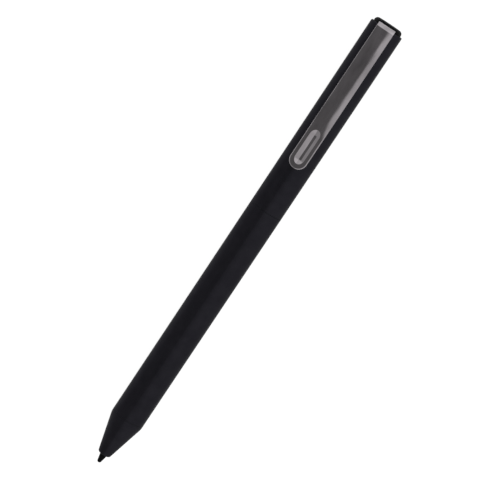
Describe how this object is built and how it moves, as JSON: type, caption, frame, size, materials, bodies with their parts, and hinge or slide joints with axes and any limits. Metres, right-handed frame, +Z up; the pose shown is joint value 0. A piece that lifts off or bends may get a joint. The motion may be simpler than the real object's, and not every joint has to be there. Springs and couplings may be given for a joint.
{
  "type": "stylus pen",
  "caption": "Slim round active stylus pen with a tapered nose, replaceable pressing nib, sprung metal clip and a rear barrel that unscrews for its dry cell.",
  "frame": {"origin": "the middle of the pen's length and width, on the surface that its barrel lies on", "axes": "+X along the pen from the nib to the tail, +Z up through the clip"},
  "size_m": [0.1422, 0.0094, 0.011],
  "materials": {
    "barrel_black": "matte",
    "nose_black": "matte",
    "nib_black": "matte",
    "clip_gunmetal": "polished",
    "plug_black": "satin",
    "spring_steel": "satin",
    "nickel": "satin",
    "contact_brass": "polished",
    "collar_metal": "satin",
    "holder_plastic": "satin",
    "frame_plastic": "matte",
    "sensor_ceramic": "satin",
    "ribbon_film": "satin",
    "socket_plastic": "satin",
    "board_green": "satin",
    "chip_black": "matte",
    "ferrite": "matte",
    "capacitor_tan": "satin",
    "seal_rubber": "matte",
    "cell_jacket": "satin",
    "washer_card": "matte"
  },
  "bodies": {
    "front": {"front_barrel": "barrel_black", "nose_cone": "nose_black", "nib_spring": "spring_steel", "sensor_housing": "frame_plastic", "force_sensor": "sensor_ceramic", "sensor_ribbon": "ribbon_film", "ribbon_socket": "socket_plastic", "chassis": "frame_plastic", "circuit_board": "board_green", "controller_chip": "chip_black", "driver_chip": "chip_black", "boost_inductor": "ferrite", "crystal": "nickel", "board_capacitors": "capacitor_tan", "board_screws": "nickel", "ground_spring": "contact_brass", "thread_collar": "collar_metal", "contact_block": "frame_plastic", "front_contact": "contact_brass"},
    "seal": {"seal_ring": "seal_rubber"},
    "rear": {"rear_barrel": "barrel_black", "battery_cell": "cell_jacket", "battery_washer": "washer_card", "battery_spring": "spring_steel", "spring_cup": "nickel", "tail_plug": "plug_black"},
    "clip": {"clip": "clip_gunmetal"},
    "holder": {"nib_holder": "holder_plastic"},
    "nib": {"nib": "nib_black"}
  },
  "joints": [
    {"name": "rear_turn", "type": "hinge", "parent": "front", "child": "seal", "pos_m": [0.01241, 0, 0.00475], "axis": [1, 0, 0], "range_deg": [0, 1081]},
    {"name": "rear_lead", "type": "slide", "parent": "seal", "child": "rear", "axis": [1, 0, 0], "range_m": [0, 0.00225]},
    {"name": "clip_flex", "type": "hinge", "parent": "rear", "child": "clip", "pos_m": [0.0692, 0, 0.0098], "axis": [0, 1, 0], "range_deg": [0, 3], "stiffness_Nm_per_rad": 2.6},
    {"name": "nib_press", "type": "slide", "parent": "front", "child": "holder", "axis": [1, 0, 0], "range_m": [0, 0.0004], "stiffness_N_per_m": 2500, "springref_m": -0.00012, "deforming": ["nib_spring"]},
    {"name": "nib_pull", "type": "slide", "parent": "holder", "child": "nib", "axis": [-1, 0, 0], "range_m": [0, 0.0118]}
  ],
  "couplings": [
    {"joint": "rear_turn", "follows": "rear_lead", "rad_per_m": 8377.6}
  ]
}
